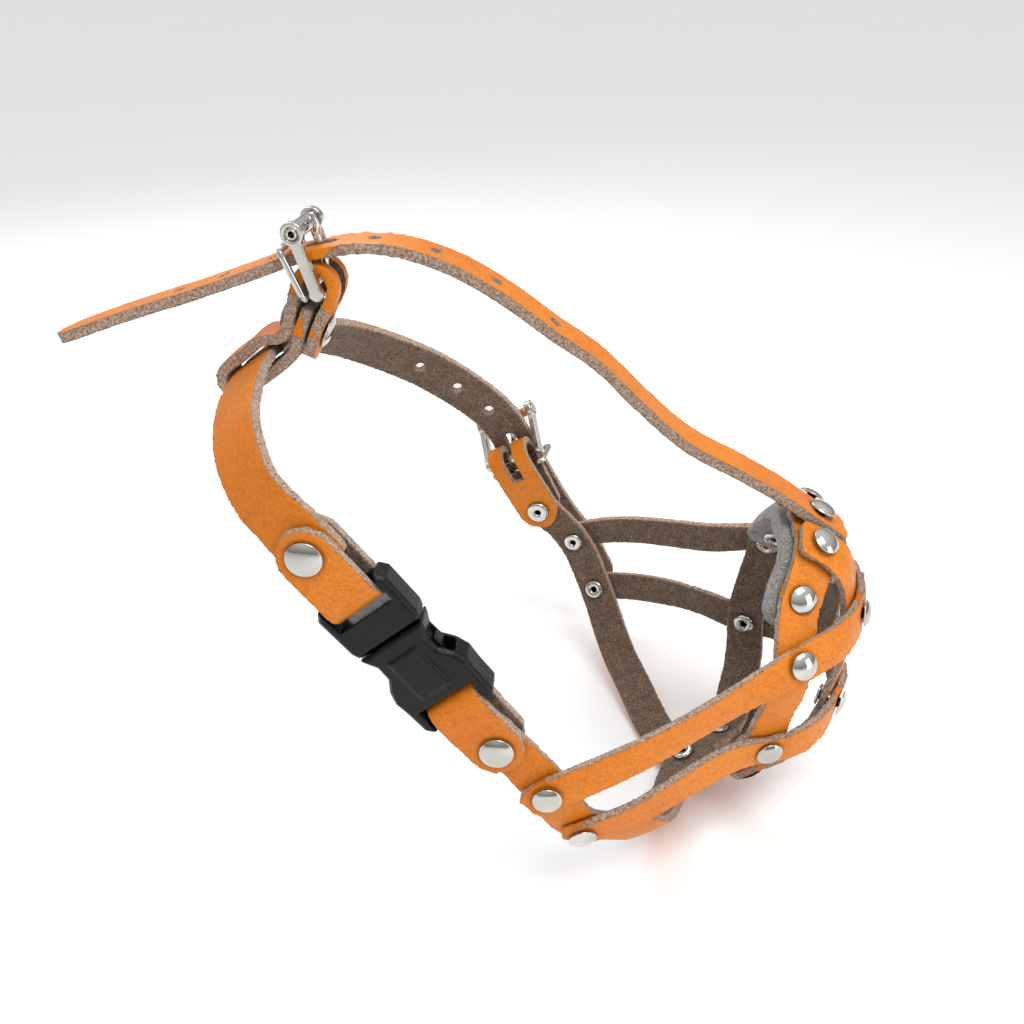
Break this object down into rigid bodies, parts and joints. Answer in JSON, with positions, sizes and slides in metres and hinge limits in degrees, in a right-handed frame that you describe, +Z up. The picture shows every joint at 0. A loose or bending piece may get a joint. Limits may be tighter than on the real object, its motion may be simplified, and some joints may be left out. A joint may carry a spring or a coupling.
{
  "type": "dog muzzle",
  "caption": "Riveted leather strap basket muzzle for a small dog, with felt nose pad, forehead strap, neck strap, side-release clip and two roller buckles.",
  "frame": {"origin": "on the middle plane under the mouth opening, 3.4 mm below the rear rivets of the lower side band and level with the rear rivets of the upper band along X", "axes": "+X forward to the dog's nose, +Y to the dog's left, +Z up"},
  "size_m": [0.2271, 0.1454, 0.1714],
  "materials": {
    "leather": "semi-matte, orange tan grain, brown flesh side",
    "felt": "matte, fuzzy",
    "nickel": "bright nickel plate",
    "black_plastic": "fine satin moulding"
  },
  "bodies": {
    "muzzle": {"main_strap": "leather", "upper_side_band": "leather", "lower_side_band": "leather", "front_strap_left": "leather", "front_strap_right": "leather", "forehead_strap": "leather", "neck_strap_right": "leather", "neck_strap_left": "leather", "cheek_tab_right": "leather", "cheek_tab_left": "leather", "crown_tab": "leather", "nose_pad": "felt", "clip_female": "black_plastic", "cheek_buckle_frame": "nickel", "cheek_buckle_keeper": "nickel", "crown_buckle_frame": "nickel", "crown_buckle_keeper": "nickel", "rivet_upper_rear_left": "nickel", "rivet_upper_rear_right": "nickel", "rivet_lower_rear_left": "nickel", "rivet_lower_rear_right": "nickel", "rivet_upper_nose_left": "nickel", "rivet_upper_nose_right": "nickel", "rivet_lower_nose_left": "nickel", "rivet_lower_nose_right": "nickel", "rivet_pad_left": "nickel", "rivet_pad_right": "nickel", "rivet_front_top_left": "nickel", "rivet_front_top_right": "nickel", "rivet_upper_front_left": "nickel", "rivet_upper_front_right": "nickel", "rivet_lower_front_left": "nickel", "rivet_lower_front_right": "nickel", "rivet_forehead": "nickel", "rivet_chin_cross": "nickel", "rivet_chin_left": "nickel", "rivet_chin_right": "nickel", "rivet_cheek_right": "nickel", "rivet_cheek_left": "nickel", "rivet_crown": "nickel"},
    "clip_end": {"clip_male": "black_plastic", "neck_clip_tab": "leather", "rivet_neck_clip": "nickel"},
    "clip_arm_left": {"clip_arm_left": "black_plastic"},
    "clip_arm_right": {"clip_arm_right": "black_plastic"},
    "cheek_roller": {"cheek_buckle_roller": "nickel"},
    "cheek_tongue": {"cheek_buckle_tongue": "nickel"},
    "crown_roller": {"crown_buckle_roller": "nickel"},
    "crown_tongue": {"crown_buckle_tongue": "nickel"}
  },
  "joints": [
    {"name": "clip_release", "type": "slide", "parent": "muzzle", "child": "clip_end", "axis": [-0.6253, 0, 0.7804], "range_m": [0, 0.022], "deforming": ["neck_strap_right", "clip_arm_left", "clip_arm_right"]},
    {"name": "clip_squeeze_left", "type": "hinge", "parent": "clip_end", "child": "clip_arm_left", "pos_m": [-0.0407, -0.06071, 0.06089], "axis": [0.0557, -0.9974, 0.0447], "range_deg": [0, 11], "stiffness_Nm_per_rad": 0.5},
    {"name": "clip_squeeze_right", "type": "hinge", "parent": "clip_end", "child": "clip_arm_right", "pos_m": [-0.03222, -0.05994, 0.06769], "axis": [-0.0557, 0.9974, -0.0447], "range_deg": [0, 11], "stiffness_Nm_per_rad": 0.5},
    {"name": "cheek_roller_turn", "type": "hinge", "parent": "muzzle", "child": "cheek_roller", "pos_m": [-0.02566, 0.0735, 0.06111], "axis": [0.8808, -0.0655, 0.4689], "continuous": true},
    {"name": "cheek_tongue_lift", "type": "hinge", "parent": "muzzle", "child": "cheek_tongue", "pos_m": [-0.02158, 0.06167, 0.05179], "axis": [-0.8808, 0.0655, -0.4689], "range_deg": [0, 4]},
    {"name": "crown_roller_turn", "type": "hinge", "parent": "muzzle", "child": "crown_roller", "pos_m": [-0.06861, 0, 0.14483], "axis": [0, 1, 0], "continuous": true},
    {"name": "crown_tongue_lift", "type": "hinge", "parent": "muzzle", "child": "crown_tongue", "pos_m": [-0.06393, 0, 0.12995], "axis": [0, 1, 0], "range_deg": [0, 4]}
  ]
}
